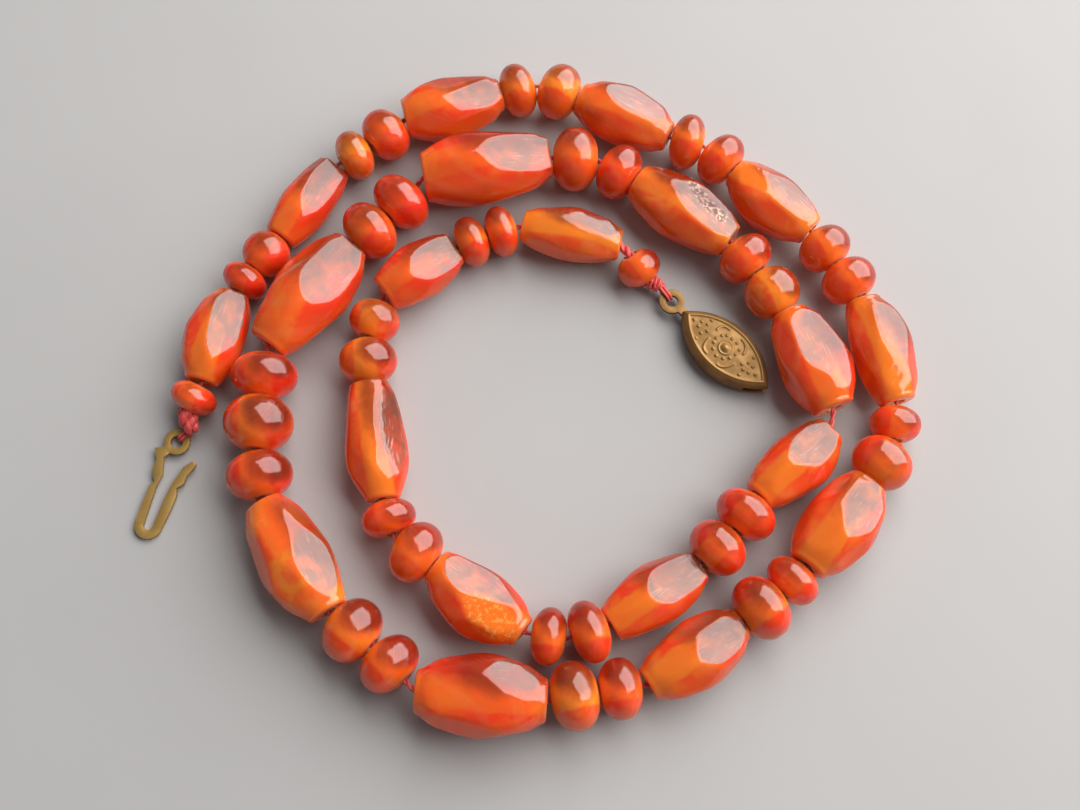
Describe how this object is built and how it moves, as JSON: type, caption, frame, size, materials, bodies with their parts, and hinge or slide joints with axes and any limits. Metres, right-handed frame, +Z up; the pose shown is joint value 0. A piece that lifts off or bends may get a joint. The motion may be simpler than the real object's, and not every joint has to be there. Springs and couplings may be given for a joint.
{
  "type": "bead necklace",
  "caption": "Open carnelian bead necklace lying in a loose spiral: long faceted barrel beads parted by round rondelles on silk, with a flat brass fish-hook and a pointed oval clasp.",
  "frame": {"origin": "Centre of the bounding box in plan, on the surface that the necklace lies on.", "axes": "+Z up from the surface; +X to the picture's right, the longest extent; +Y away from the viewer. The hook end is on the -X side and the clasp lies inside the spiral."},
  "size_m": [0.1048, 0.095, 0.0099],
  "materials": {
    "carnelian": "polished and translucent, banded red to amber",
    "silk": "twisted silk thread",
    "brass": "aged and matt"
  },
  "bodies": {
    "root": {"barrel_01": "carnelian", "barrel_02": "carnelian", "barrel_03": "carnelian", "barrel_04": "carnelian", "barrel_05": "carnelian", "barrel_06": "carnelian", "barrel_07": "carnelian", "barrel_08": "carnelian", "barrel_09": "carnelian", "barrel_10": "carnelian", "barrel_11": "carnelian", "barrel_12": "carnelian", "barrel_13": "carnelian", "barrel_14": "carnelian", "barrel_15": "carnelian", "barrel_16": "carnelian", "barrel_17": "carnelian", "barrel_18": "carnelian", "barrel_19": "carnelian", "barrel_20": "carnelian", "rondelles_01": "carnelian", "rondelles_02": "carnelian", "rondelles_03": "carnelian", "rondelles_04": "carnelian", "rondelles_05": "carnelian", "rondelles_06": "carnelian", "rondelles_07": "carnelian", "rondelles_08": "carnelian", "rondelles_09": "carnelian", "rondelles_10": "carnelian", "rondelles_11": "carnelian", "rondelles_12": "carnelian", "rondelles_13": "carnelian", "rondelles_14": "carnelian", "rondelles_15": "carnelian", "rondelles_16": "carnelian", "rondelles_17": "carnelian", "rondelles_18": "carnelian", "rondelles_19": "carnelian", "rondelles_20": "carnelian", "thread": "silk", "hook_knot": "silk", "clasp_knot": "silk", "hook": "brass", "clasp_shell": "brass"}
  },
  "joints": []
}
